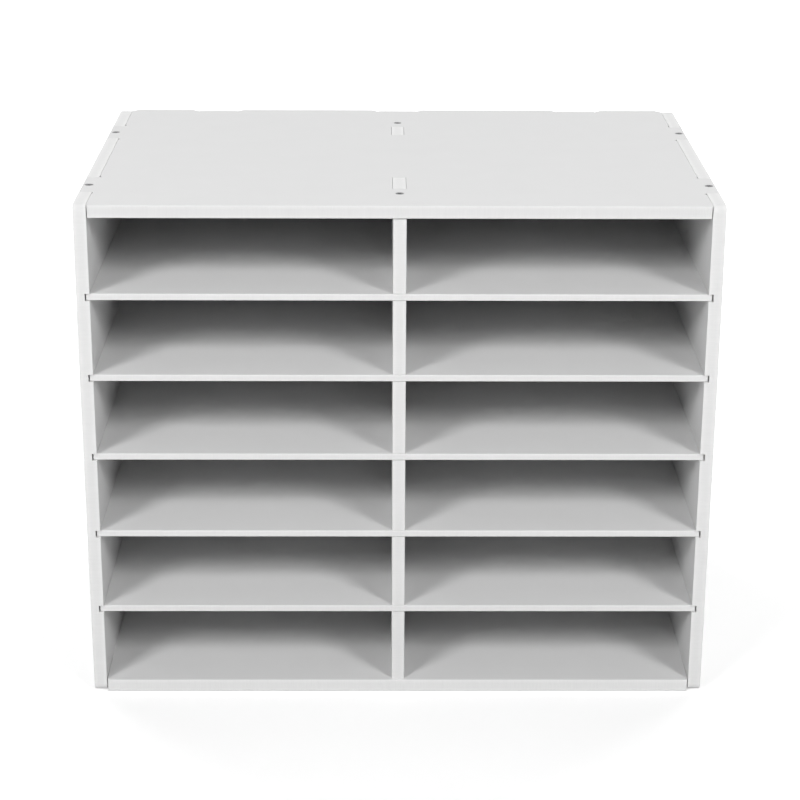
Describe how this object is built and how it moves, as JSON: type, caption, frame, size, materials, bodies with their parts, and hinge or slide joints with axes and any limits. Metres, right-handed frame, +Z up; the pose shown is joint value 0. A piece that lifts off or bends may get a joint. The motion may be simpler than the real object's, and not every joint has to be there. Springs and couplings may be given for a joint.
{
  "type": "mail sorter",
  "caption": "Open-fronted desktop mail sorter of white boards, two columns of flat compartments with pull-out shelves that cross a centre divider.",
  "frame": {"origin": "centre of the base, on the surface that the sorter stands on", "axes": "+X to the right seen from the open front, +Y to the back panel, +Z up"},
  "size_m": [0.503, 0.325, 0.418],
  "materials": {
    "board": "satin white foamed board, a little lighter on cut edges",
    "screw": "zinc plated"
  },
  "bodies": {
    "carcass": {"left_side_panel": "board", "right_side_panel": "board", "top_panel": "board", "bottom_panel": "board", "centre_divider": "board", "back_panel": "board", "top_left_screws": "screw", "top_right_screws": "screw", "top_divider_screws": "screw", "bottom_left_screws": "screw", "bottom_right_screws": "screw", "bottom_divider_screws": "screw", "back_left_screws": "screw", "back_right_screws": "screw", "back_divider_screws": "screw"},
    "shelf_1": {"shelf_1": "board"},
    "shelf_2": {"shelf_2": "board"},
    "shelf_3": {"shelf_3": "board"},
    "shelf_4": {"shelf_4": "board"},
    "shelf_5": {"shelf_5": "board"}
  },
  "joints": [
    {"name": "shelf_1_slide", "type": "slide", "parent": "carcass", "child": "shelf_1", "axis": [0, -1, 0], "range_m": [0, 0.3075]},
    {"name": "shelf_2_slide", "type": "slide", "parent": "carcass", "child": "shelf_2", "axis": [0, -1, 0], "range_m": [0, 0.3075]},
    {"name": "shelf_3_slide", "type": "slide", "parent": "carcass", "child": "shelf_3", "axis": [0, -1, 0], "range_m": [0, 0.3075]},
    {"name": "shelf_4_slide", "type": "slide", "parent": "carcass", "child": "shelf_4", "axis": [0, -1, 0], "range_m": [0, 0.3075]},
    {"name": "shelf_5_slide", "type": "slide", "parent": "carcass", "child": "shelf_5", "axis": [0, -1, 0], "range_m": [0, 0.3075]}
  ]
}
